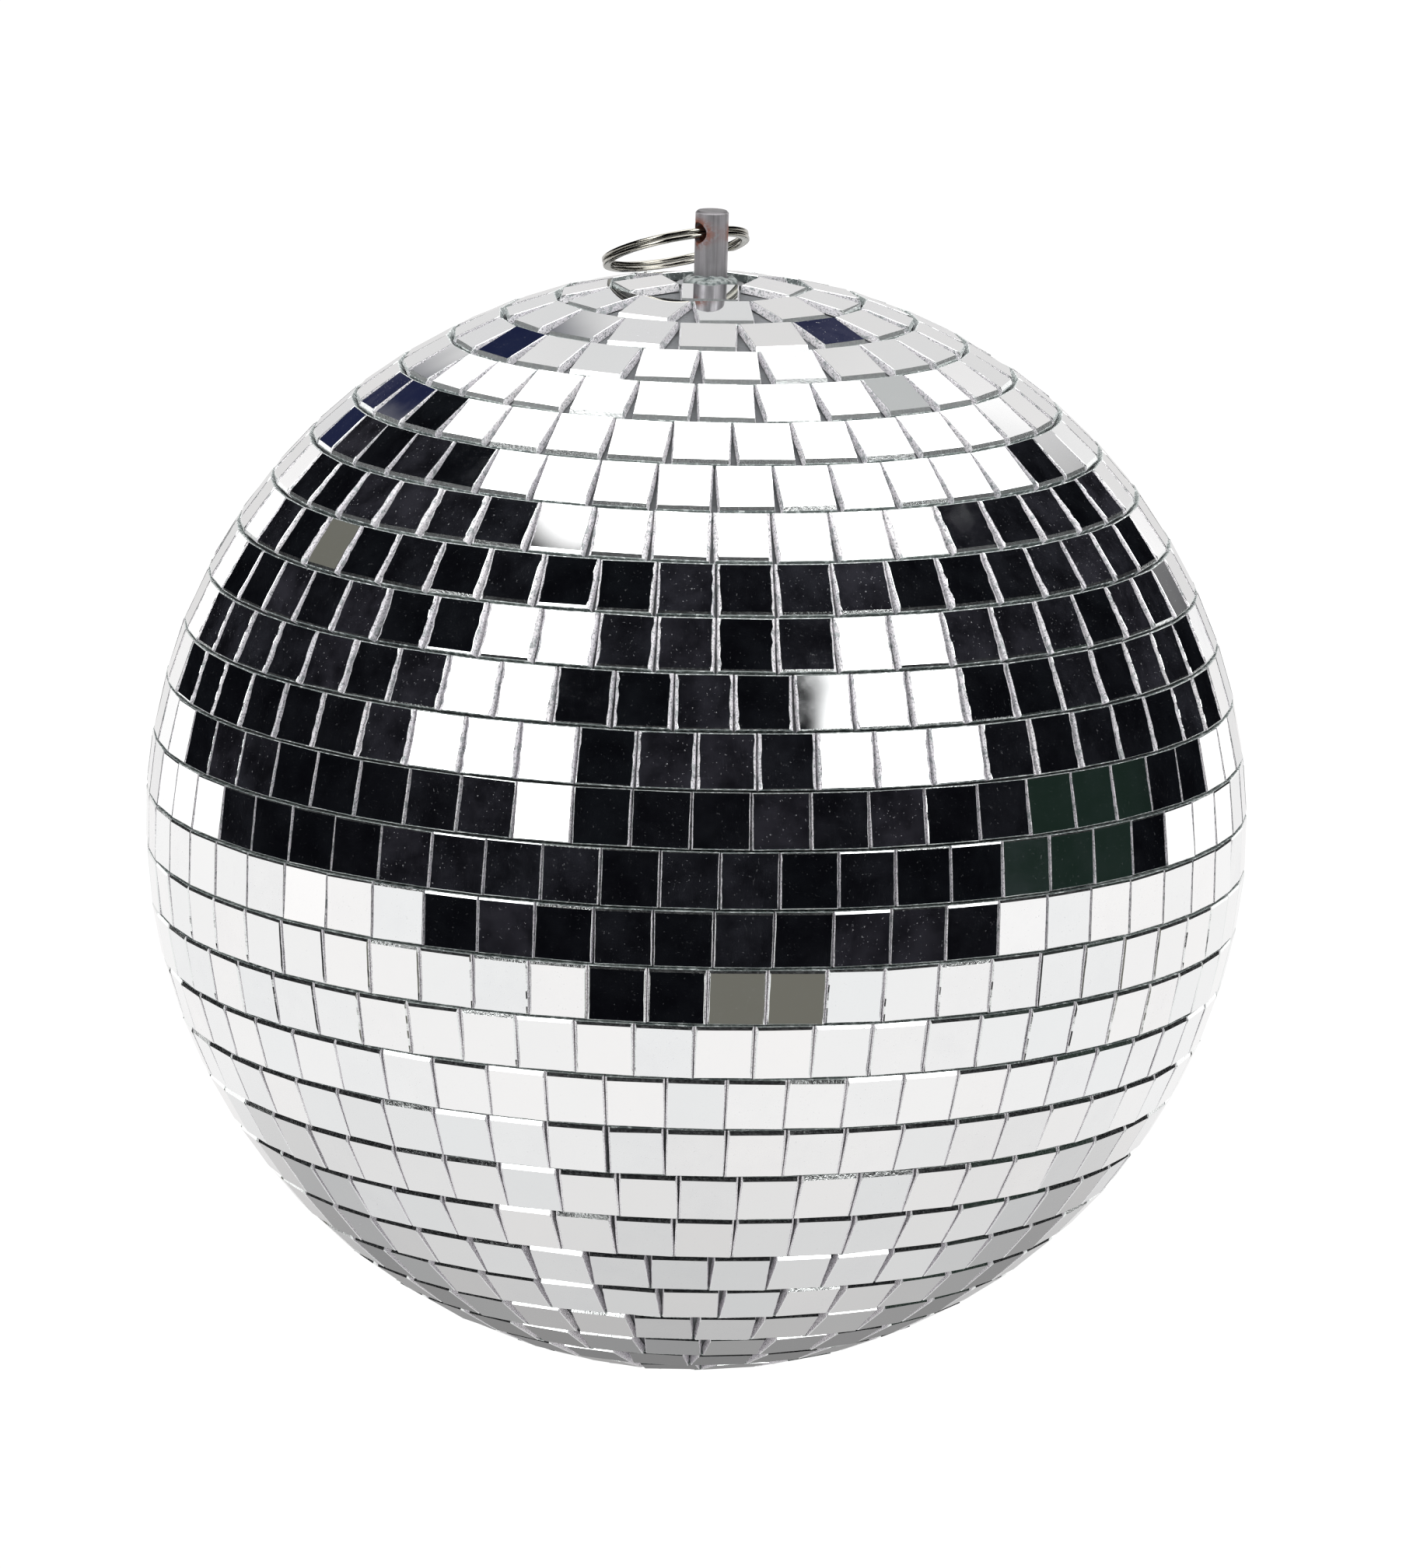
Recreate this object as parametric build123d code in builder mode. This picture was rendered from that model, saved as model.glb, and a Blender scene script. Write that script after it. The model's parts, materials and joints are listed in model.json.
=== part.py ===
"""Mirror ball, 200 mm across, with a plain hanger pin and a split ring to hang it by.

The origin is at the tip of the hanger pin and +Z is up, so the ball hangs below the origin.
Everything is in millimetres.
"""
from build123d import *
import os
from math import atan, cos, degrees, floor, pi, radians, sin

# ---- the ball -------------------------------------------------------------------------------
BALL_R = 100.0  # nominal radius over the mirrors
FACE_R = 99.9  # distance from the centre to the middle of a mirror face
PIN_PROUD = 11.9  # how far the pin stands above the nominal ball

# ---- mirror tiles ---------------------------------------------------------------------------
TILE = 9.6  # side of the square mirrors
TILE_T = 1.6  # glass thickness
TILE_PITCH = 10.34  # widest allowed spacing along a row
TILE_GAP = 0.3  # least gap between neighbours at the narrow end of a row
ROWS = 29  # an equator row with 14 above it and 14 below
ROW_STEP = 5.924  # degrees of latitude from row to row
FRONT = -90.0  # heading of the top row's first tile
STAGGER = 137.5  # degrees that each row's first tile is turned from the last row's

# ---- fabric backing strips ------------------------------------------------------------------
STRIP_W = 10.0
STRIP_T = 0.3

# ---- hollow plastic core --------------------------------------------------------------------
CORE_R = FACE_R - TILE_T - STRIP_T
CORE_WALL = 2.0
LIP_R = 96.75  # outside of the lower shell's spigot lip
LIP_T = 1.4
LIP_H = 4.8
LIP_ROOT = 3.0  # how far the lip reaches down inside the lower shell
REBATE_R = 96.8  # the upper shell's rebate over the lip
REBATE_H = 5.0
PAD_Z = 97.7  # flat at the pole under the washer, from the ball's centre
BOSS_R = 10.0
BOSS_T = 6.0
RIBS = 6
RIB_T = 1.6
RIB_L = 24.0  # reach of the ribs from the axis

# ---- hanger pin and its fasteners (M6) ------------------------------------------------------
PIN_R = 3.0
PIN_TIP_CHAMFER = 0.4
PIN_LENGTH = 30.5
COLLAR_R = 3.4
COLLAR_T = 0.8
THREAD_R = 2.95
THREAD_TOP = 16.0  # below the tip, inside the boss
PIN_HOLE_R = 3.06  # through the boss
CROSS_HOLE_R = 1.9
CROSS_HOLE_Z = -3.9
OUTER_WASHER_R = 6.0
OUTER_WASHER_T = 1.0
INNER_WASHER_R = 9.0
WASHER_BORE_R = 3.2
WASHER_T = 1.6
LOCK_WASHER_R = 5.9
LOCK_WASHER_BORE_R = 3.05
LOCK_WASHER_SPLIT = 1.2
NUT_FLATS = 10.0
NUT_T = 5.0
NUT_CHAMFER = 0.45
BEAD_R = 5.4
BEAD_H = 0.9

# ---- split ring -----------------------------------------------------------------------------
RING_R = 13.5  # outside radius
RING_WIDE = 1.5  # radial width of the wire
TURN_T = 0.85  # thickness of one turn
TURN_GAP = 0.1  # between the two turns
RING_END_GAP = 5.0  # degrees left open at the end of each turn
RING_CROSSING = 14.0  # degrees over which one turn passes into the other
RING_CROSSING_AT = 112.0  # degrees round the ring from the pin
RING_HEADING = 33.0  # degrees from +X to the cross hole's axis
RING_SLOPE = 22.4  # degrees below level at which the ring lies on the mirrors

CENTRE_Z = -(PIN_PROUD + BALL_R)

os.makedirs("parts", exist_ok=True)


def save(piece, name):
    """Labels a finished piece and writes its STEP file."""
    piece.part.label = name
    export_step(piece.part, f"parts/{name}.step")


def level(height):
    """The horizontal plane this far above the ball's centre."""
    return Plane.XY.offset(CENTRE_Z + height)


def row_angle(row):
    """Degrees from the upper pole to the middle of a row, counted from 1 at the top."""
    return 90 + (row - (ROWS + 1) / 2) * ROW_STEP


def row_count(row):
    """Most square tiles that fit round a row without their narrow ends meeting."""
    lean = radians(row_angle(row))
    by_pitch = floor(2 * pi * FACE_R * sin(lean) / TILE_PITCH)
    narrow_end = (FACE_R - TILE_T) * sin(lean) - abs(cos(lean)) * TILE / 2
    by_corners = floor(pi / atan((TILE + TILE_GAP) / 2 / narrow_end))
    return min(by_pitch, by_corners)


def tile_planes(row):
    """The planes of a row's mirror faces, each centred on its tile and facing outwards."""
    lean = radians(row_angle(row))
    count = row_count(row)
    planes = []
    for i in range(count):
        turn = radians(FRONT + (row - 1) * STAGGER + i * 360 / count)
        out = Vector(sin(lean) * cos(turn), sin(lean) * sin(turn), cos(lean))
        along = (-sin(turn), cos(turn), 0)
        middle = out * FACE_R + Vector(0, 0, CENTRE_Z)
        planes.append(Plane(origin=middle, x_dir=along, z_dir=out))
    return planes


# Vertical half plane through the ball's centre, x outwards from the axis and y up
PROFILE = Plane(origin=(0, 0, CENTRE_Z), x_dir=(1, 0, 0), z_dir=(0, -1, 0))

# ---- core shells ----------------------------------------------------------------------------
with BuildPart() as upper_core_shell:
    # stiffening ribs from the boss out to the inside of the shell
    with BuildSketch(level(PAD_Z - BOSS_T)):
        with PolarLocations(0, RIBS):
            Rectangle(RIB_L, RIB_T, align=(Align.MIN, Align.CENTER))
    extrude(amount=BOSS_T)
    with Locations(level(0)):
        Sphere(CORE_R - CORE_WALL / 2, mode=Mode.INTERSECT)
    with BuildSketch(PROFILE):
        Circle(CORE_R)
        Circle(CORE_R - CORE_WALL, mode=Mode.SUBTRACT)
        with Locations((0, PAD_Z)):
            Rectangle(2 * BOSS_R, 2 * BOSS_T)
        Circle(CORE_R, mode=Mode.INTERSECT)
        Rectangle(CORE_R, PAD_Z, align=(Align.MIN, Align.MIN), mode=Mode.INTERSECT)
        Rectangle(REBATE_R, REBATE_H, align=(Align.MIN, Align.MIN), mode=Mode.SUBTRACT)
    revolve(axis=Axis.Z)
    with Locations(level(PAD_Z)):
        Hole(PIN_HOLE_R)
save(upper_core_shell, "upper_core_shell")

with BuildPart() as lower_core_shell:
    with BuildSketch(PROFILE):
        Circle(CORE_R)
        Circle(CORE_R - CORE_WALL, mode=Mode.SUBTRACT)
        Rectangle(CORE_R, CORE_R, align=(Align.MIN, Align.MAX), mode=Mode.INTERSECT)
        with Locations((LIP_R, LIP_H)):
            Rectangle(LIP_T, LIP_H + LIP_ROOT, align=(Align.MAX, Align.MAX))
    revolve(axis=Axis.Z)
save(lower_core_shell, "lower_core_shell")

# ---- hanger pin -----------------------------------------------------------------------------
WASHER_TOP = CENTRE_Z + PAD_Z + OUTER_WASHER_T
with BuildPart() as hanger_pin:
    with BuildSketch(Plane.XY.offset(-THREAD_TOP)):
        Circle(PIN_R)
    extrude(amount=THREAD_TOP)
    chamfer(hanger_pin.faces().sort_by(Axis.Z)[-1].edges(), PIN_TIP_CHAMFER)
    with BuildSketch(Plane.XY.offset(WASHER_TOP)):
        Circle(COLLAR_R)
    extrude(amount=COLLAR_T)
    with BuildSketch(Plane.XY.offset(-PIN_LENGTH)):
        Circle(THREAD_R)
    extrude(amount=PIN_LENGTH - THREAD_TOP)
    chamfer(hanger_pin.faces().sort_by(Axis.Z)[0].edges(), PIN_TIP_CHAMFER)
    across = Plane(
        origin=(0, 0, CROSS_HOLE_Z),
        x_dir=(0, 0, 1),
        z_dir=(cos(radians(RING_HEADING)), sin(radians(RING_HEADING)), 0),
    )
    with BuildSketch(across):
        Circle(CROSS_HOLE_R)
    extrude(amount=2 * PIN_R, both=True, mode=Mode.SUBTRACT)
save(hanger_pin, "hanger_pin")

# ---- fasteners, from the outside in ---------------------------------------------------------
with BuildPart() as outer_washer:
    with BuildSketch(level(PAD_Z)):
        Circle(OUTER_WASHER_R)
        Circle(WASHER_BORE_R, mode=Mode.SUBTRACT)
    extrude(amount=OUTER_WASHER_T)
save(outer_washer, "outer_washer")

# bead of clear adhesive round the pin's collar
with BuildPart() as pin_adhesive:
    with BuildSketch(PROFILE):
        with BuildLine():
            Polyline(
                (COLLAR_R + 0.05, PAD_Z + OUTER_WASHER_T),
                (BEAD_R, PAD_Z + OUTER_WASHER_T),
                (BEAD_R - 0.5, PAD_Z + OUTER_WASHER_T + BEAD_H * 0.6),
                (COLLAR_R + 0.4, PAD_Z + OUTER_WASHER_T + BEAD_H),
                (COLLAR_R + 0.05, PAD_Z + OUTER_WASHER_T + BEAD_H),
                close=True,
            )
        make_face()
    revolve(axis=Axis.Z)
save(pin_adhesive, "pin_adhesive")

INNER_FACE = PAD_Z - BOSS_T
with BuildPart() as inner_washer:
    with BuildSketch(level(INNER_FACE - WASHER_T)):
        Circle(INNER_WASHER_R)
        Circle(WASHER_BORE_R, mode=Mode.SUBTRACT)
    extrude(amount=WASHER_T)
save(inner_washer, "inner_washer")

with BuildPart() as lock_washer:
    with BuildSketch(level(INNER_FACE - 2 * WASHER_T)):
        Circle(LOCK_WASHER_R)
        Circle(LOCK_WASHER_BORE_R, mode=Mode.SUBTRACT)
        Rectangle(
            LOCK_WASHER_R * 2,
            LOCK_WASHER_SPLIT,
            align=(Align.MIN, Align.CENTER),
            mode=Mode.SUBTRACT,
        )
    extrude(amount=WASHER_T)
save(lock_washer, "lock_washer")

NUT_BASE = INNER_FACE - 2 * WASHER_T - NUT_T
NUT_CORNER = NUT_FLATS / 2 / cos(radians(30))
with BuildPart() as hex_nut:
    with BuildSketch(level(NUT_BASE)):
        RegularPolygon(NUT_FLATS / 2, 6, major_radius=False)
    extrude(amount=NUT_T)
    # both faces are chamfered down to the flats' circle
    with BuildSketch(PROFILE):
        with BuildLine():
            Polyline(
                (0, NUT_BASE),
                (NUT_FLATS / 2, NUT_BASE),
                (NUT_CORNER, NUT_BASE + NUT_CHAMFER),
                (NUT_CORNER, NUT_BASE + NUT_T - NUT_CHAMFER),
                (NUT_FLATS / 2, NUT_BASE + NUT_T),
                (0, NUT_BASE + NUT_T),
                close=True,
            )
        make_face()
    revolve(axis=Axis.Z, mode=Mode.INTERSECT)
    with Locations(level(NUT_BASE + NUT_T)):
        Hole(THREAD_R + 0.02)
save(hex_nut, "hex_nut")

# ---- backing strips, one cone-shaped band behind each row of mirrors ------------------------
half_way = (ROWS + 1) // 2
strip_groups = {
    "upper_backing_strips": range(1, half_way),
    "equator_backing_strip": range(half_way, half_way + 1),
    "lower_backing_strips": range(half_way + 1, ROWS + 1),
}
for name, rows in strip_groups.items():
    with BuildPart() as strips:
        for row in rows:
            lean = row_angle(row)
            reach = CORE_R + STRIP_T / 2
            middle = (reach * sin(radians(lean)), reach * cos(radians(lean)))
            with BuildSketch(PROFILE):
                with Locations(Location((*middle, 0), (0, 0, -lean))):
                    Rectangle(STRIP_W, STRIP_T)
            revolve(axis=Axis.Z)
    save(strips, name)

with BuildPart() as bottom_backing_patch:
    with BuildSketch(level(-CORE_R - STRIP_T)):
        Circle(TILE / 2)
    extrude(amount=STRIP_T)
save(bottom_backing_patch, "bottom_backing_patch")

# ---- mirror tiles ---------------------------------------------------------------------------
for row in range(1, ROWS + 1):
    with BuildPart() as mirror_row:
        with Locations(*tile_planes(row)):
            Box(TILE, TILE, TILE_T, align=(Align.CENTER, Align.CENTER, Align.MAX))
    save(mirror_row, f"mirror_row_{row:02d}")

with BuildPart() as bottom_mirror:
    with Locations(level(-FACE_R)):
        Box(TILE, TILE, TILE_T, align=(Align.CENTER, Align.CENTER, Align.MIN))
save(bottom_mirror, "bottom_mirror")

# ---- split ring, lying on the mirrors behind the pin ----------------------------------------
heading = radians(RING_HEADING)
slope = radians(RING_SLOPE)
RING_MID = RING_R - RING_WIDE / 2
away = Vector(-sin(heading) * cos(slope), cos(heading) * cos(slope), -sin(slope))
ring_plane = Plane(
    origin=Vector(0, 0, CROSS_HOLE_Z) + away * RING_MID,
    x_dir=away,
    z_dir=(-sin(heading) * sin(slope), cos(heading) * sin(slope), cos(slope)),
)
BACK = 180  # the pin is on the ring's -x side
with BuildPart() as split_ring:
    turns = ((TURN_GAP / 2, RING_CROSSING), (-TURN_GAP / 2 - TURN_T, -RING_CROSSING))
    for base, shift in turns:
        with BuildSketch(ring_plane.offset(base)):
            Circle(RING_R)
            Circle(RING_R - RING_WIDE, mode=Mode.SUBTRACT)
            with PolarLocations(RING_R, 1, BACK + RING_CROSSING_AT + shift):
                Rectangle(
                    3 * RING_WIDE,
                    RING_R * radians(RING_END_GAP),
                    mode=Mode.SUBTRACT,
                )
        extrude(amount=TURN_T)
    with BuildSketch(ring_plane.offset(-TURN_GAP / 2)):
        with PolarLocations(RING_MID, 1, BACK + RING_CROSSING_AT):
            Rectangle(
                RING_WIDE * 0.8,
                RING_R * radians(RING_CROSSING),
            )
    extrude(amount=TURN_GAP)
save(split_ring, "split_ring")
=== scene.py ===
"""Mirror ball: the looks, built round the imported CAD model. Lengths are in metres."""
import json
import random
from math import asin, cos, hypot, pi, radians, sin, tan

import bmesh
import bpy
from mathutils import Matrix, Vector, noise


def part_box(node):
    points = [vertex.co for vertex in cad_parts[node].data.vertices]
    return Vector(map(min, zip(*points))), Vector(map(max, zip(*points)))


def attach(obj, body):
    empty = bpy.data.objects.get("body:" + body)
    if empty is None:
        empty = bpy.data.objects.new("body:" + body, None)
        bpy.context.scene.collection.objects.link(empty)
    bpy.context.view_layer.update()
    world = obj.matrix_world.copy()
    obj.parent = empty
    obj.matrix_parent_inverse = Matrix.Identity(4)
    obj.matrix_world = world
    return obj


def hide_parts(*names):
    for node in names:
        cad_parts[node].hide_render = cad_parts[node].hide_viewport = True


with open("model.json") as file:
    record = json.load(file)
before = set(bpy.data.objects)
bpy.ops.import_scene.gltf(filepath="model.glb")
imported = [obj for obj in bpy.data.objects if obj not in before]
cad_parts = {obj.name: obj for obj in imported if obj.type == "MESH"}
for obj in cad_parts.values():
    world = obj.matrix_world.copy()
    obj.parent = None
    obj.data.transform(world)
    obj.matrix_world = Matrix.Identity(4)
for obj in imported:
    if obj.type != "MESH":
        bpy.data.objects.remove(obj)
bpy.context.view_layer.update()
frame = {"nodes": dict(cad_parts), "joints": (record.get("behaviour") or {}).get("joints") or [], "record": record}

MM = 0.001

# ---- sizes and places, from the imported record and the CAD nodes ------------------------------
MOUNTS = {mount["name"]: mount for mount in frame["record"]["mounts"]}
JOINT = frame["joints"][0]
row_low, row_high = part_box("mirror_row_15")
CENTRE = Vector((0, 0, (row_low.z + row_high.z) / 2))
HOLE = Vector(JOINT["pos_m"])
HOLE_AXIS = Vector(JOINT["axis"]).normalized()
ring_low, ring_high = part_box("split_ring")
RING_CENTRE = (ring_low + ring_high) / 2
TILE = 9.6 * MM  # side of the square mirrors
GLASS = 1.6 * MM  # and their thickness

random.seed(8)


# ---- node helpers ----------------------------------------------------------------------------
class Graph:
    """Adds nodes to a tree and links them, one short call at a time."""

    def __init__(self, tree):
        self.tree = tree
        tree.nodes.clear()

    def node(self, kind, inputs=None, **settings):
        made = self.tree.nodes.new(kind)
        for name, value in settings.items():
            setattr(made, name, value)
        for name, value in (inputs or {}).items():
            self.feed(made.inputs[name], value)
        return made

    def feed(self, socket, value):
        if isinstance(value, bpy.types.NodeSocket):
            self.tree.links.new(value, socket)
        else:
            socket.default_value = value

    def math(self, operation, a, b=0.0, clamp=False):
        return self.node("ShaderNodeMath", {0: a, 1: b}, operation=operation, use_clamp=clamp).outputs[0]

    def ramp(self, value, low, high, to_low=0.0, to_high=1.0):
        sockets = {"Value": value, "From Min": low, "From Max": high, "To Min": to_low, "To Max": to_high}
        return self.node("ShaderNodeMapRange", sockets, interpolation_type="SMOOTHSTEP").outputs[0]

    def mix(self, share, a, b):
        made = self.node("ShaderNodeMix", {"Factor": share}, data_type="RGBA")
        self.feed(made.inputs[6], a)
        self.feed(made.inputs[7], b)
        return made.outputs[2]

    def noise(self, where, scale, detail=4.0, roughness=0.55):
        settings = {"Vector": where, "Scale": scale, "Detail": detail, "Roughness": roughness}
        return self.node("ShaderNodeTexNoise", settings).outputs[0]

    def place(self):
        return self.node("ShaderNodeTexCoord").outputs["Object"]

    def stretched(self, scale):
        """Object coordinates scaled unevenly, for drawn grain."""
        return self.node("ShaderNodeMapping", {"Vector": self.place(), "Scale": scale}).outputs[0]

    def per_face(self, name):
        return self.node("ShaderNodeAttribute", attribute_name=name).outputs["Fac"]

    def bump(self, height, strength, distance):
        made = self.node("ShaderNodeBump", {"Height": height, "Strength": strength, "Distance": distance})
        return made.outputs[0]


def material(name):
    made = bpy.data.materials.new(name)
    made.use_nodes = True
    graph = Graph(made.node_tree)
    return made, graph


def finish_surface(graph, shader):
    graph.node("ShaderNodeOutputMaterial", {"Surface": shader})


# ---- materials -------------------------------------------------------------------------------
def mirror_face():
    """Silvered glass: a near perfect mirror under a film of dust, thin on some tiles and hazy on others."""
    made, g = material("mirror_face")
    where = g.place()
    tone = g.per_face("tone")
    hue = g.per_face("hue")
    smear = g.noise(where, 140.0, 6.0, 0.65)
    ripple = g.noise(where, 55.0, 1.0, 0.4)
    specks = g.ramp(g.noise(where, 2100.0, 2.0, 0.7), 0.66, 0.72)
    silver = g.mix(tone, (0.86, 0.88, 0.885, 1), (0.93, 0.93, 0.925, 1))
    mirror = g.node(
        "ShaderNodeBsdfPrincipled",
        {
            "Base Color": silver,
            "Metallic": 1.0,
            "Roughness": g.ramp(smear, 0.35, 0.75, 0.008, 0.035),
            "Normal": g.bump(ripple, 0.05, 0.0004),
        },
    ).outputs[0]
    film_colour = g.mix(hue, (0.34, 0.42, 0.50, 1), (0.40, 0.39, 0.49, 1))
    speckled = g.mix(specks, film_colour, (0.80, 0.82, 0.84, 1))
    film = g.node("ShaderNodeBsdfDiffuse", {"Color": speckled}).outputs[0]
    haze = g.ramp(hue, 0.35, 1.0, 0.20, 1.0)
    cloud = g.math("MULTIPLY", haze, g.ramp(smear, 0.30, 0.75, 0.010, 0.065))
    dust = g.math("MULTIPLY", g.math("MULTIPLY", specks, haze), 0.30)
    share = g.math("ADD", cloud, dust, clamp=True)
    finish_surface(g, g.node("ShaderNodeMixShader", {0: share, 1: mirror, 2: film}).outputs[0])
    return made


def bevel_edge():
    """The strips along the edges where the glass shows its own thickness, silvered and a little milky."""
    made, g = material("bevel_edge")
    where = g.place()
    flat = g.per_face("tone")
    chips = g.noise(where, 1900.0, 4.0, 0.7)
    mirror = g.node(
        "ShaderNodeBsdfPrincipled",
        {
            "Base Color": (0.86, 0.89, 0.88, 1),
            "Metallic": 1.0,
            "Roughness": g.ramp(chips, 0.35, 0.65, 0.015, 0.05),
            "Normal": g.bump(chips, 0.14, 0.00006),
        },
    ).outputs[0]
    milky = g.node("ShaderNodeBsdfDiffuse", {"Color": (0.85, 0.88, 0.88, 1)}).outputs[0]
    share = g.math("ADD", g.ramp(chips, 0.40, 0.70, 0.02, 0.11), g.math("MULTIPLY", flat, 0.30))
    finish_surface(g, g.node("ShaderNodeMixShader", {0: share, 1: mirror, 2: milky}).outputs[0])
    return made


def snapped_edge():
    """The snapped sides of the mirrors: frosted glass, nearly white, with splinters that catch the light."""
    made, g = material("snapped_edge")
    where = g.place()
    tone = g.per_face("tone")
    # below the middle of the ball the snapped sides get a lighter colour, with fewer dull patches and dark
    # splinters: painted light for the light that the glass lets into the lower gaps; they are also more metallic
    painted_light_below = g.per_face("hue")
    coarse = g.noise(where, 700.0, 3.0, 0.6)
    splinters = g.noise(where, 2600.0, 4.0, 0.75)
    base = g.mix(tone, (0.84, 0.82, 0.86, 1), (0.98, 0.96, 0.98, 1))
    dull = g.mix(g.math("MAXIMUM", painted_light_below, g.ramp(coarse, 0.34, 0.48)), (0.50, 0.53, 0.54, 1), base)
    whole = g.math("MAXIMUM", painted_light_below, g.ramp(splinters, 0.37, 0.48))
    broken = g.mix(whole, (0.28, 0.30, 0.31, 1), dull)
    shader = g.node(
        "ShaderNodeBsdfPrincipled",
        {
            "Base Color": broken,
            "Metallic": g.ramp(painted_light_below, 0.0, 1.0, 0.15, 0.70),
            "Roughness": g.ramp(splinters, 0.3, 0.7, 0.15, 0.50),
            "Normal": g.bump(splinters, 0.6, 0.0003),
        },
    ).outputs[0]
    finish_surface(g, shader)
    return made


def cut_edge():
    """The cut upper and lower edges: grey-green glass with pale chips."""
    made, g = material("cut_edge")
    where = g.place()
    tone = g.per_face("tone")
    chips = g.noise(where, 900.0, 4.0, 0.7)
    depth = g.mix(tone, (0.15, 0.18, 0.18, 1), (0.38, 0.42, 0.41, 1))
    chipped = g.mix(g.ramp(chips, 0.50, 0.62), depth, (0.80, 0.85, 0.84, 1))
    shader = g.node(
        "ShaderNodeBsdfPrincipled",
        {
            "Base Color": chipped,
            "Roughness": g.ramp(chips, 0.3, 0.7, 0.15, 0.45),
            "Normal": g.bump(chips, 0.5, 0.0002),
        },
    ).outputs[0]
    finish_surface(g, shader)
    return made


def backing_cloth():
    made, g = material("backing_cloth")
    where = g.place()
    weave = g.node("ShaderNodeTexVoronoi", {"Vector": where, "Scale": 1500.0}).outputs["Distance"]
    soiled = g.noise(where, 120.0)
    colour = g.mix(soiled, (0.07, 0.075, 0.08, 1), (0.22, 0.23, 0.24, 1))
    shader = g.node(
        "ShaderNodeBsdfPrincipled",
        {"Base Color": colour, "Roughness": 0.85, "Normal": g.bump(weave, 0.5, 0.0002)},
    ).outputs[0]
    finish_surface(g, shader)
    return made


def core_plastic():
    made, g = material("core_plastic")
    grain = g.noise(g.place(), 1400.0, 3.0)
    cloud = g.noise(g.place(), 40.0)
    colour = g.mix(cloud, (0.06, 0.062, 0.066, 1), (0.11, 0.112, 0.116, 1))
    shader = g.node(
        "ShaderNodeBsdfPrincipled",
        {
            "Base Color": colour,
            "Roughness": g.ramp(grain, 0.3, 0.7, 0.45, 0.65),
            "Normal": g.bump(grain, 0.25, 0.0001),
        },
    ).outputs[0]
    finish_surface(g, shader)
    return made


def pin_steel():
    """Drawn steel, dull and lined along its length, with rust round the cross hole."""
    made, g = material("pin_steel")
    where = g.place()
    lines = g.noise(g.stretched((1.0, 1.0, 0.03)), 1600.0, 5.0, 0.7)
    dull = g.noise(where, 420.0, 4.0)
    drawn = g.mix(g.ramp(lines, 0.35, 0.65), (0.31, 0.30, 0.31, 1), (0.46, 0.44, 0.465, 1))
    height = g.node("ShaderNodeSeparateXYZ", {0: where}).outputs[2]
    sawn_end = g.ramp(height, -0.5 * MM, -0.1 * MM)
    painted_light_below = g.mix(sawn_end, drawn, (0.16, 0.155, 0.16, 1))
    off_axis = g.node("ShaderNodeVectorMath", {0: where, 1: HOLE}, operation="SUBTRACT").outputs[0]
    across = g.node("ShaderNodeVectorMath", {0: off_axis, 1: HOLE_AXIS}, operation="CROSS_PRODUCT").outputs[0]
    from_hole = g.node("ShaderNodeVectorMath", {0: across}, operation="LENGTH").outputs["Value"]
    near_hole = g.ramp(from_hole, 1.7 * MM, 3.6 * MM, 1.0, 0.0)
    blotches = g.ramp(g.noise(where, 900.0, 5.0, 0.7), 0.38, 0.54)
    rust = g.math("MULTIPLY", near_hole, blotches, clamp=True)
    colour = g.mix(rust, painted_light_below, (0.30, 0.085, 0.04, 1))
    shader = g.node(
        "ShaderNodeBsdfPrincipled",
        {
            "Base Color": colour,
            "Metallic": g.math("SUBTRACT", 0.55, g.math("MULTIPLY", rust, 0.5)),
            "Roughness": g.math("ADD", g.ramp(dull, 0.3, 0.7, 0.38, 0.55), g.math("MULTIPLY", rust, 0.3)),
            "Normal": g.bump(lines, 0.25, 0.00008),
        },
    ).outputs[0]
    finish_surface(g, shader)
    return made


def plated(name, dark, light, rough_low, rough_high, scale):
    """Bright plating over steel, a little uneven in colour and gloss."""
    made, g = material(name)
    where = g.place()
    cloud = g.noise(where, scale, 4.0)
    fine = g.noise(where, scale * 9, 3.0, 0.6)
    shader = g.node(
        "ShaderNodeBsdfPrincipled",
        {
            "Base Color": g.mix(cloud, dark, light),
            "Metallic": 1.0,
            "Roughness": g.ramp(cloud, 0.3, 0.7, rough_low, rough_high),
            "Normal": g.bump(fine, 0.12, 0.00006),
        },
    ).outputs[0]
    finish_surface(g, shader)
    return made


def clear_glue():
    made, g = material("clear_glue")
    where = g.place()
    cloud = g.noise(where, 700.0, 4.0)
    shader = g.node(
        "ShaderNodeBsdfPrincipled",
        {
            "Base Color": g.mix(g.ramp(cloud, 0.35, 0.6), (0.04, 0.06, 0.06, 1), (0.34, 0.38, 0.37, 1)),
            "Roughness": g.ramp(cloud, 0.3, 0.7, 0.06, 0.22),
            "IOR": 1.48,
            "Normal": g.bump(cloud, 0.8, 0.0004),
        },
    ).outputs[0]
    finish_surface(g, shader)
    return made


MIRROR = mirror_face()
BEVEL = bevel_edge()
SNAPPED = snapped_edge()
CUT = cut_edge()
CLOTH = backing_cloth()
PLASTIC = core_plastic()
STEEL = pin_steel()
ZINC = plated("zinc_plate", (0.30, 0.31, 0.33, 1), (0.50, 0.51, 0.52, 1), 0.28, 0.46, 260.0)
NICKEL = plated("nickel_plate", (0.27, 0.255, 0.215, 1), (0.46, 0.45, 0.41, 1), 0.08, 0.20, 420.0)
GLUE = clear_glue()


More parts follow.
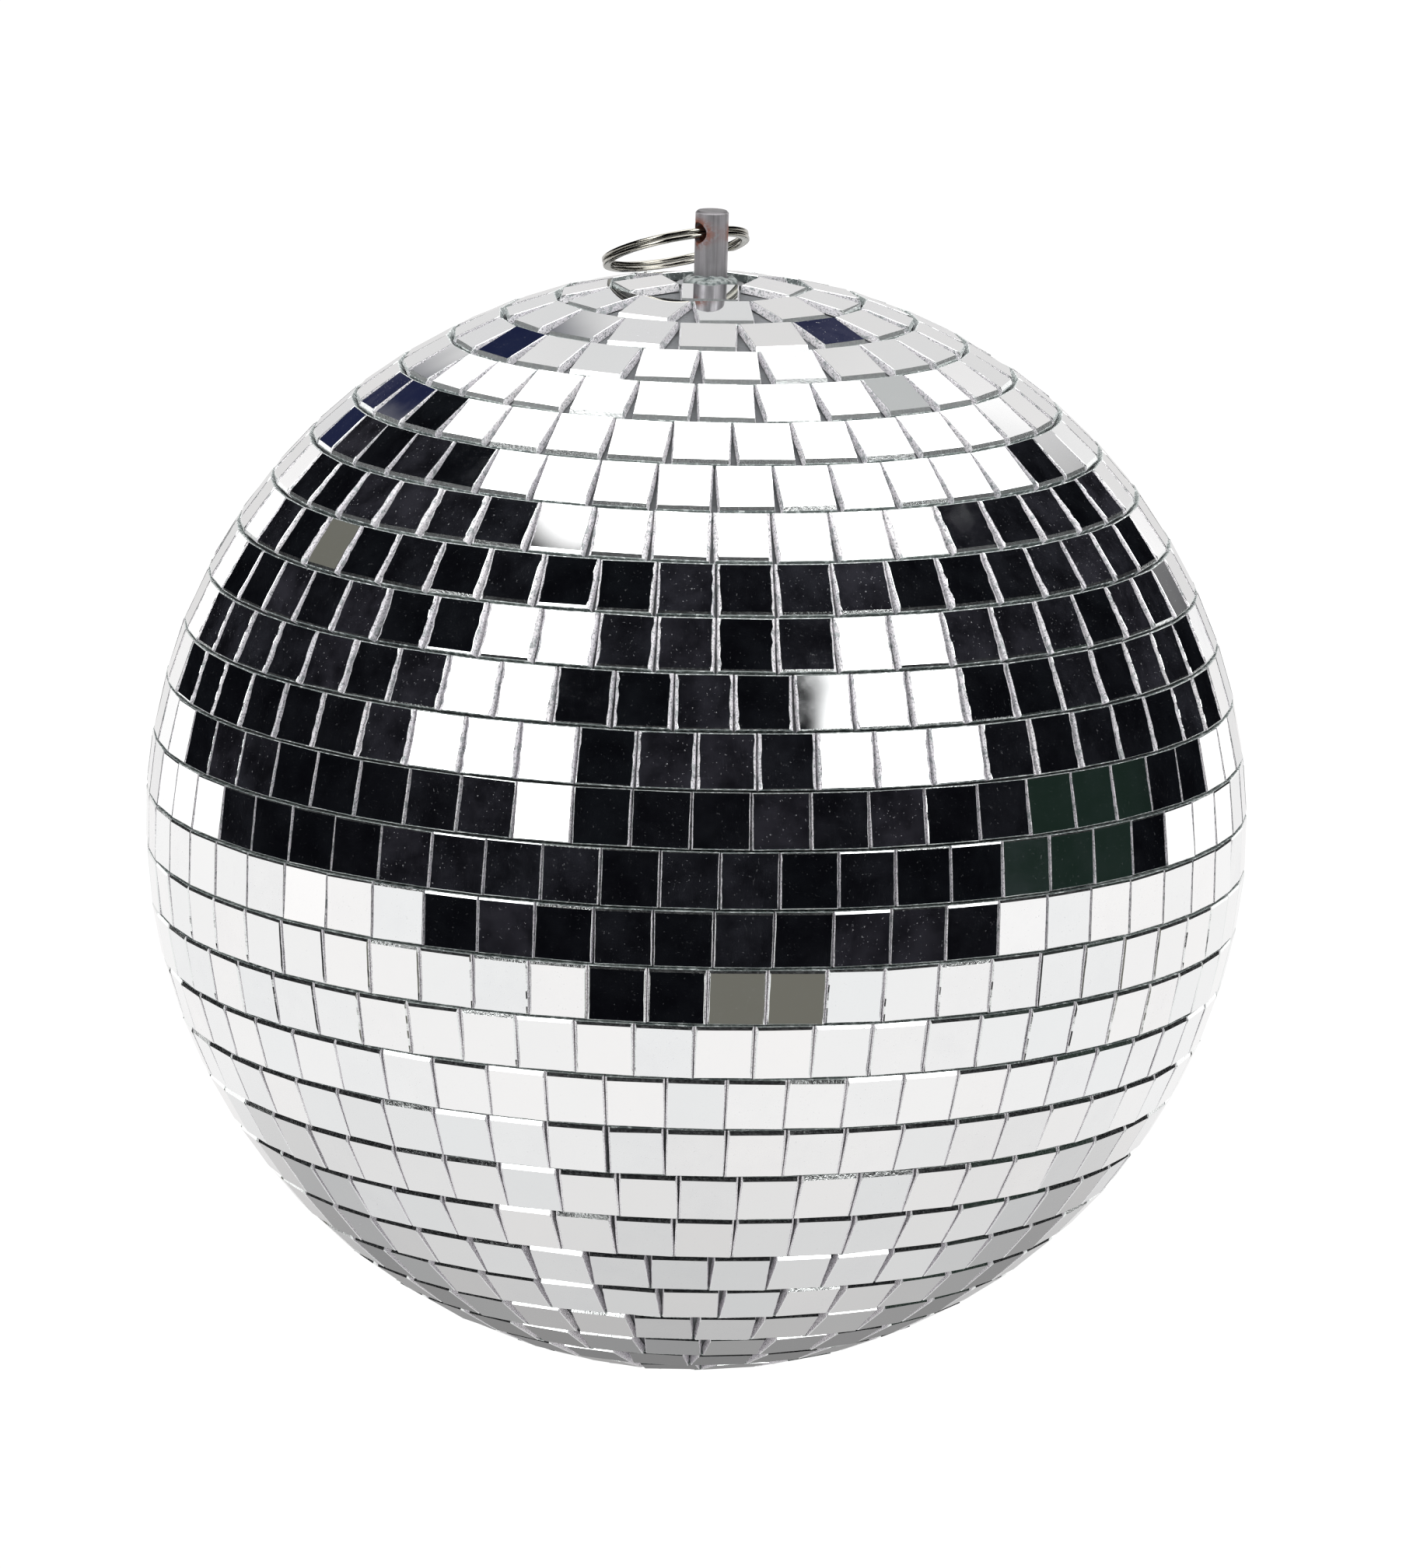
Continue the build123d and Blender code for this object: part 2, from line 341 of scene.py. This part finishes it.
# ---- mirrors ---------------------------------------------------------------------------------
def mirror_places(node):
    """(centre, outward normal) of each mirror face in a CAD row."""
    found = {}
    for face in frame["nodes"][node].data.polygons:
        if face.normal.dot((face.center - CENTRE).normalized()) > 0.9:
            key = tuple(round(c, 3) for c in face.normal)
            found.setdefault(key, []).append((face.center.copy(), face.normal.copy()))
    places = []
    for pairs in found.values():
        middle = sum((centre for centre, _ in pairs), Vector()) / len(pairs)
        places.append((middle, pairs[0][1].normalized()))
    return places


CUT_STEPS = 3  # short runs along a cut edge
SNAPPED_STEPS = 7  # and along a snapped edge
LEVEL = radians(15)  # the strip along a tile's nearer edge faces this far above level
GLASS_INDEX = 1.5
STRIP_WIDENING = 1.4
USUAL_TILT = 0.45  # degrees, the spread of most tiles' tilt
WORST_TILT = 2.0  # degrees, for the few that were set badly
BADLY_SET = 0.05  # their share
BOTTOM_SINK = 0.4 * MM  # keeps the bottom mirrors clear of the ball's lowest point
FLARE = 0.22 * MM  # how far a tile's sides widen behind its face
# slots of a tile's materials
FACE_SLOT, STRIP_SLOT, SNAPPED_SLOT, CUT_SLOT = range(4)


def tile_outline(width, height):
    """Round the tile from its lower left corner: (point, side, whether this is a corner)."""
    corners = []
    for sx, sy in ((-1, -1), (1, -1), (1, 1), (-1, 1)):
        x = sx * (width / 2 - random.uniform(0, 0.07) * MM)
        y = sy * (height / 2 - random.uniform(0, 0.08) * MM)
        corners.append(Vector((x, y)))
    points = []
    for side, (a, b) in enumerate(zip(corners, corners[1:] + corners[:1])):
        snapped = side % 2 == 1
        steps = SNAPPED_STEPS if snapped else CUT_STEPS
        inward = Vector((-(b - a).y, (b - a).x)).normalized()
        for i in range(steps):
            nick = 0 if i == 0 else random.uniform(0, 0.06 if snapped else 0.02) * MM
            points.append((a.lerp(b, i / steps) + inward * nick, side, i == 0))
    return points


def strip_size(tilt):
    """Inset and depth of the strip along the nearer edge of a tile that leans this far from it."""
    seen = STRIP_WIDENING * GLASS * tan(asin(sin(tilt) / GLASS_INDEX)) * cos(tilt)
    return seen * cos(tilt), seen * sin(tilt)


def set_tilt():
    """Degrees that a tile is tilted about one of its own axes."""
    if random.random() > BADLY_SET:
        return random.gauss(0, USUAL_TILT)
    return random.uniform(-WORST_TILT, WORST_TILT)


def add_tile(mesh, layers, middle, normal, u, width, count):
    """One mirror: its face, a strip or chamfer round it, a rough border, and sides that flare to the back."""
    round_part = hypot(normal.x, normal.y)
    back_reach = hypot(middle.x, middle.y) - GLASS * round_part
    slope = normal.z
    lean = asin(max(-1.0, min(1.0, normal.z))) - LEVEL
    strip_side = 0 if lean > 0 else 2
    strip_in, strip_deep = strip_size(abs(lean) + radians(random.gauss(0, 2.0)))
    height = TILE + 0.4 * MM * round_part - abs(random.gauss(0, 0.05)) * MM
    nod, swing, spin = set_tilt(), set_tilt(), random.gauss(0, 0.3)
    turn = Matrix.Rotation(radians(nod), 3, u) @ Matrix.Rotation(radians(swing), 3, normal.cross(u))
    turn = turn @ Matrix.Rotation(radians(spin), 3, normal)
    u, normal = turn @ u, turn @ normal
    v = normal.cross(u)
    sink = random.uniform(0.06, 0.16) * MM
    if slope < -0.99:
        sink += BOTTOM_SINK
    spare = abs(random.gauss(0, 0.07)) if random.random() > 0.05 else random.uniform(0.3, 0.8)
    aside = random.uniform(-0.5, 0.5) * spare * MM
    outline = tile_outline(width - spare * MM, height)
    frost = random.uniform(0.03, 0.09) * MM
    if 0 < lean < radians(32):
        frost = random.uniform(0.25, 0.50) * MM
    border = (0.14 if lean > 0 else 0.08) * MM
    side_strip = (0.20 if -0.25 < slope < 0 else 0.06) * MM
    below_middle = slope < -0.03
    rings = [[], [], [], []]
    for p, side, corner in outline:
        snapped = side % 2 == 1
        face_x, strip_x, deep = 0.0, 0.0, 0.0  # insets from the outline, and the strip's depth
        if corner or snapped:
            strip_x = frost * random.uniform(0.6, 1.4)
            face_x = strip_x + side_strip
            deep = side_strip
        face_y, strip_y = 0.0, 0.0
        if corner or not snapped:
            strip_y = border
            if (0 if p.y < 0 else 2) == strip_side:
                face_y, deep = strip_y + strip_in, strip_deep
            else:
                face_y, deep = strip_y + 0.08 * MM, 0.10 * MM
        sx, sy = (1 if p.x > 0 else -1), (1 if p.y > 0 else -1)
        border_deep = deep + (strip_x * 0.8 if snapped and not corner else 0.05 * MM)
        # the sides flare out behind the face until they all but meet the next tile
        half_room = (back_reach - p.y * slope) * tan(pi / count) - 0.02 * MM if count > 2 else width / 2
        back_x = sx * max(abs(p.x), min(abs(p.x) + FLARE, half_room - sx * aside))
        border_x = back_x if below_middle and slope > -0.60 else p.x
        spots = (
            (p.x - sx * face_x, p.y - sy * face_y, 0.0),
            (p.x - sx * strip_x, p.y - sy * strip_y, deep),
            (border_x, p.y, border_deep),
            (back_x, p.y + sy * 0.05 * MM * round_part, GLASS - 0.15 * MM),
        )
        for ring, (x, y, depth) in zip(rings, spots):
            ring.append(mesh.verts.new(middle + u * (x + aside) + v * y - normal * (depth + sink)))
    tone, hue = random.random(), random.random()
    faces = [
        (mesh.faces.new(rings[0]), FACE_SLOT),
        (mesh.faces.new(list(reversed(rings[3]))), CUT_SLOT),
    ]
    around = len(outline)
    for band, (upper, lower) in enumerate(zip(rings, rings[1:])):
        for i in range(around):
            j = (i + 1) % around
            slot = SNAPPED_SLOT if outline[i][1] % 2 == 1 else CUT_SLOT
            if band == 0:
                slot = STRIP_SLOT
            faces.append((mesh.faces.new((lower[i], lower[j], upper[j], upper[i])), slot))
    milk = max(0.0, min(1.0, (lean - radians(20)) / radians(25)))
    # tiles below the middle: painted light on their snapped sides, a lighter colour for the light the glass lets
    # into the gaps, and more metal
    painted_light_below = 0.85 if below_middle else 0.0
    for face, slot in faces:
        face.material_index = slot
        face[layers[0]] = milk if slot == STRIP_SLOT else tone
        face[layers[1]] = painted_light_below if slot == SNAPPED_SLOT else hue


def row_width(places):
    """The widest tile that leaves a thin gap at the narrow end of this row."""
    middle, normal = places[0]
    if len(places) < 3:
        return TILE
    narrow = hypot(middle.x, middle.y) - abs(normal.z) * TILE / 2 - GLASS * hypot(normal.x, normal.y)
    room = 2 * narrow * tan(pi / len(places)) - 0.08 * MM
    return max(TILE - 0.1 * MM, min(TILE + 0.62 * MM, room))


def add_row(node, name):
    mesh = bmesh.new()
    layers = (mesh.faces.layers.float.new("tone"), mesh.faces.layers.float.new("hue"))
    places = mirror_places(node)
    width = row_width(places)
    for middle, normal in places:
        level = Vector((-normal.y, normal.x, 0))
        u = level.normalized() if level.length > 0.01 else Vector((1, 0, 0))
        add_tile(mesh, layers, middle, normal, u, width, len(places))
    data = bpy.data.meshes.new(name)
    mesh.to_mesh(data)
    mesh.free()
    for finish in (MIRROR, BEVEL, SNAPPED, CUT):
        data.materials.append(finish)
    piece = bpy.data.objects.new(name, data)
    bpy.context.scene.collection.objects.link(piece)
    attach(piece, "ball")
    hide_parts(node)
    return piece


for node in sorted(n for n in frame["nodes"] if n.startswith("mirror_row") or n == "bottom_mirror"):
    add_row(node, node.replace("mirror", "mirrors"))


# ---- split ring ------------------------------------------------------------------------------
WIRE_WIDE = 1.5 * MM
WIRE_THICK = 0.83 * MM
TURN_SHIFT = 0.475 * MM
RING_MID = MOUNTS["ring_eye"]["dims"]["r_mm"] * MM + WIRE_WIDE / 2
CROSSING = radians(112)
CROSS_HALF = radians(16)
SECTION_POINTS = 16
# from the cross hole to the ring's centre, and along the ring's own axis
away = RING_CENTRE - HOLE
away = (away - HOLE_AXIS * away.dot(HOLE_AXIS)).normalized()
up = HOLE_AXIS.cross(away)
ring_origin = HOLE + away * RING_MID


def smooth(x):
    x = max(0.0, min(1.0, x))
    return x * x * (3 - 2 * x)


def add_wire_ring():
    """Two turns of flattened wire. One turn bends across to the other over a short stretch."""
    mesh = bmesh.new()
    section = []
    for i in range(SECTION_POINTS):
        a = 2 * pi * i / SECTION_POINTS
        c, s = cos(a), sin(a)
        section.append(
            (
                abs(c) ** 0.55 * (1 if c > 0 else -1) * WIRE_WIDE / 2,
                abs(s) ** 0.55 * (1 if s > 0 else -1) * WIRE_THICK / 2,
            )
        )
    steps = 220
    total = 4 * pi - radians(24)
    start = CROSSING + radians(12) + pi
    rings = []
    for i in range(steps + 1):
        travel = total * i / steps
        angle = start + travel
        past = travel - (2 * pi - radians(12))
        shift = TURN_SHIFT * (1 - 2 * smooth((past + CROSS_HALF) / (2 * CROSS_HALF)))
        taper = min(1.0, 0.35 + 0.65 * smooth(min(travel, total - travel) / radians(5)))
        radial = away * cos(angle) + up.cross(away) * sin(angle)
        ring = []
        for x, y in section:
            ring.append(mesh.verts.new(ring_origin + radial * (RING_MID + x) + up * (shift + y * taper)))
        rings.append(ring)
    for a, b in zip(rings, rings[1:]):
        for i in range(SECTION_POINTS):
            j = (i + 1) % SECTION_POINTS
            mesh.faces.new((a[i], a[j], b[j], b[i])).smooth = True
    mesh.faces.new(list(reversed(rings[0])))
    mesh.faces.new(rings[-1])
    bmesh.ops.recalc_face_normals(mesh, faces=mesh.faces)
    data = bpy.data.meshes.new("split_ring_wire")
    mesh.to_mesh(data)
    mesh.free()
    data.materials.append(NICKEL)
    piece = bpy.data.objects.new("split_ring_wire", data)
    bpy.context.scene.collection.objects.link(piece)
    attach(piece, "ring")
    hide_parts("split_ring")


add_wire_ring()

# ---- glue round the pin's collar -------------------------------------------------------------
glue_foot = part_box("pin_adhesive")[0].z


def add_glue():
    """A lumpy bead with a tongue that spreads over the front mirror."""
    mesh = bmesh.new()
    around, over = 72, 10
    inner = 3.46 * MM
    rings = []
    for i in range(around):
        a = 2 * pi * i / around
        lump = noise.noise(Vector((cos(a) * 2.1, sin(a) * 2.1, 3.0)))
        spilt = max(0.0, cos(a + pi / 2 + 0.1)) ** 3
        reach = (1.45 + 0.5 * lump + 3.4 * spilt) * MM
        height = (1.2 + 0.35 * noise.noise(Vector((cos(a) * 3, sin(a) * 3, 9.0))) + 0.7 * spilt) * MM
        ring = []
        for j in range(over + 1):
            t = j / over
            r = inner + reach * (1 - t ** 1.6)
            ripple = noise.noise(Vector((r * cos(a), r * sin(a), 0)) * 700) * 0.22 * MM * sin(t * pi)
            foot = 0.8 * MM * spilt * (1 - t)
            z = glue_foot + foot + height * sin(t * pi / 2) ** 0.8 + ripple
            ring.append(mesh.verts.new((r * cos(a), r * sin(a), z)))
        ring.append(mesh.verts.new((inner * cos(a), inner * sin(a), glue_foot)))
        rings.append(ring)
    for i in range(around):
        a, b = rings[i], rings[(i + 1) % around]
        for j in range(len(a)):
            k = (j + 1) % len(a)
            mesh.faces.new((a[j], b[j], b[k], a[k])).smooth = True
    bmesh.ops.recalc_face_normals(mesh, faces=mesh.faces)
    data = bpy.data.meshes.new("glue_bead")
    mesh.to_mesh(data)
    mesh.free()
    data.materials.append(GLUE)
    piece = bpy.data.objects.new("glue_bead", data)
    bpy.context.scene.collection.objects.link(piece)
    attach(piece, "ball")
    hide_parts("pin_adhesive")


add_glue()

# ---- CAD nodes that keep their shape ---------------------------------------------------------
FINISHES = {
    "upper_core_shell": PLASTIC,
    "lower_core_shell": PLASTIC,
    "upper_backing_strips": CLOTH,
    "equator_backing_strip": CLOTH,
    "lower_backing_strips": CLOTH,
    "bottom_backing_patch": CLOTH,
    "hanger_pin": STEEL,
    "outer_washer": ZINC,
    "inner_washer": ZINC,
    "lock_washer": ZINC,
    "hex_nut": ZINC,
}
for node, finish in FINISHES.items():
    data = frame["nodes"][node].data
    data.materials.clear()
    data.materials.append(finish)

# ---- studio ----------------------------------------------------------------------------------
FLOOR_DROP = 0.55  # below the ball's centre
# what stands round the ball: degrees round from the camera (left, right), and above level (low, high)
SCREEN_SKIRTS = ((-115, 115, -8, 5), (-60, 60, -19, 5), (-20, 6, -31, -10))
WINDOWS = ((-65, -30, 15, 42), (-60, -33, 40, 51), (-40, -28, 3, 16), (28, 67, 16, 42), (34, 61, 40, 50))
STAND_PARTS = ((6, 32, -30, -18), (-128, -119, 22, 28))
GREEN_CLOTH = ((68, 105, -9, 9),)
GREY_PANEL = ((147, 158, 38, 49),)
NAVY_PANELS = ((-167, -157, 28, 37), (-162, -150, 12, 29), (162, 172, 30, 42))


def add_floor():
    mesh = bmesh.new()
    bmesh.ops.create_circle(mesh, cap_ends=True, segments=96, radius=40)
    data = bpy.data.meshes.new("floor")
    mesh.to_mesh(data)
    mesh.free()
    floor = bpy.data.objects.new("floor", data)
    floor.location = CENTRE - Vector((0, 0, FLOOR_DROP))
    bpy.context.scene.collection.objects.link(floor)
    made, g = material("pale_floor")
    finish_surface(g, g.node("ShaderNodeEmission", {"Color": (1, 1, 1, 1), "Strength": 1.05}).outputs[0])
    data.materials.append(made)
    floor.visible_glossy = False
    floor.visible_diffuse = False
    floor.visible_transmission = False
    floor.visible_shadow = False


def studio_light():
    """White room with a black screen in front of the ball, two window lights in it, and a white floor.

    The camera itself sees plain white.
    """
    world = bpy.data.worlds.new("studio")
    world.use_nodes = True
    bpy.context.scene.world = world
    g = Graph(world.node_tree)
    where = g.node("ShaderNodeTexCoord").outputs["Generated"]
    axes = g.node("ShaderNodeSeparateXYZ", {0: where}).outputs
    elevation = g.math("MULTIPLY", g.math("ARCSINE", axes[2]), 180 / pi)
    azimuth = g.math("MULTIPLY", g.math("ARCTAN2", axes[0], g.math("MULTIPLY", axes[1], -1.0)), 180 / pi)
    side = g.math("ABSOLUTE", azimuth)

    def over(value, edge, soft=0.35):
        return g.ramp(value, edge - soft, edge + soft)

    def under(value, edge, soft=0.35):
        return g.ramp(value, edge - soft, edge + soft, 1.0, 0.0)

    def patch(left, right, low, high):
        level_part = g.math("MULTIPLY", over(azimuth, left), under(azimuth, right))
        upright_part = g.math("MULTIPLY", over(elevation, low), under(elevation, high))
        return g.math("MULTIPLY", level_part, upright_part)

    def any_of(boxes):
        share = patch(*boxes[0])
        for box in boxes[1:]:
            share = g.math("MAXIMUM", share, patch(*box))
        return share

    def grey(value, tint=(1.0, 1.0, 1.0)):
        return g.node("ShaderNodeVectorMath", {0: value, 1: tint}, operation="MULTIPLY").outputs[0]

    # the screen's top edge sinks from 66 degrees in front to about 33 degrees at its ends
    drop = g.math("MULTIPLY", g.math("POWER", g.math("DIVIDE", side, 150.0), 2.2), 33.0)
    top = g.math("SUBTRACT", 66.0, g.math("ADD", drop, g.math("MULTIPLY", azimuth, 0.035)))
    screen = g.math("MULTIPLY", under(g.math("SUBTRACT", elevation, top), 0.0), over(elevation, -3.0))
    screen = g.math("MULTIPLY", screen, under(side, 150.0, 2.0))
    screen = g.math("MAXIMUM", screen, any_of(SCREEN_SKIRTS))

    # white walls and ceiling; the floor greys underneath the ball and more so behind it: a painted shadow of the
    # ball on the floor, in the light that the mirrors reflect
    under_ball = g.ramp(axes[1], -0.95, 0.25, 0.0, 0.31)
    far_end = g.ramp(axes[1], 0.35, 0.85, 0.0, 0.46)
    aside = g.math("ABSOLUTE", axes[0])
    to_side = g.math("MULTIPLY", 0.27, aside)
    depth = g.math("ADD", elevation, g.math("MULTIPLY", 32.0, aside))
    # painted shade: how far the floor is darkened, less off to the sides and fading out towards level
    shade = g.math("MAXIMUM", 0.0, g.math("SUBTRACT", g.math("ADD", under_ball, far_end), to_side))
    shade = g.math("MULTIPLY", shade, g.ramp(depth, -24.0, -10.0, 1.0, 0.0))
    floor_tone = g.math("SUBTRACT", 1.0, shade)
    back_wall = g.math("MULTIPLY", g.ramp(side, 151.0, 160.0), g.ramp(elevation, 50.0, 68.0, 1.0, 0.0))
    bright_wall = g.ramp(elevation, 20.0, 60.0, 1.35, 3.2)
    dimming = g.math("MULTIPLY", back_wall, g.math("SUBTRACT", 0.80, bright_wall))
    wall_tone = g.math("ADD", bright_wall, dimming)
    level_light = g.node(
        "ShaderNodeMix",
        {0: g.ramp(elevation, -14.0, -4.0), 2: floor_tone, 3: wall_tone},
        data_type="FLOAT",
    ).outputs[0]
    pale = grey(level_light, (0.968, 0.957, 0.956))
    lit = g.mix(screen, pale, (0.002, 0.002, 0.003, 1))
    for boxes, colour in (
        (WINDOWS, (4.0, 4.0, 4.0, 1)),
        (STAND_PARTS, (0.17, 0.165, 0.14, 1)),
        (GREEN_CLOTH, (0.010, 0.020, 0.015, 1)),
        (GREY_PANEL, (0.55, 0.56, 0.56, 1)),
        (NAVY_PANELS, (0.012, 0.016, 0.050, 1)),
    ):
        lit = g.mix(any_of(boxes), lit, colour)
    camera_ray = g.node("ShaderNodeLightPath").outputs["Is Camera Ray"]
    shown = g.mix(camera_ray, lit, (1.05, 1.05, 1.05, 1))
    background = g.node("ShaderNodeBackground", {"Color": shown, "Strength": 1.0})
    g.node("ShaderNodeOutputWorld", {"Surface": background.outputs[0]})


def add_camera():
    lift = radians(12)  # looking down on the ball
    lean = radians(1.5)
    data = bpy.data.cameras.new("camera")
    data.sensor_fit = "VERTICAL"
    data.sensor_height = 36
    data.lens = 230.9
    data.clip_end = 200
    camera = bpy.data.objects.new("camera", data)
    bpy.context.scene.collection.objects.link(camera)
    reach = 1.83
    spot = CENTRE + reach * Vector((0, -cos(lift), sin(lift)))
    aim = CENTRE + Vector((0.0023, 0, 0.0066))
    look = (aim - spot).to_track_quat("-Z", "Y").to_matrix().to_4x4()
    camera.matrix_world = Matrix.Translation(spot) @ look @ Matrix.Rotation(lean, 4, "Z")
    bpy.context.scene.camera = camera


add_floor()
studio_light()
add_camera()
bpy.context.scene.view_settings.view_transform = "Standard"
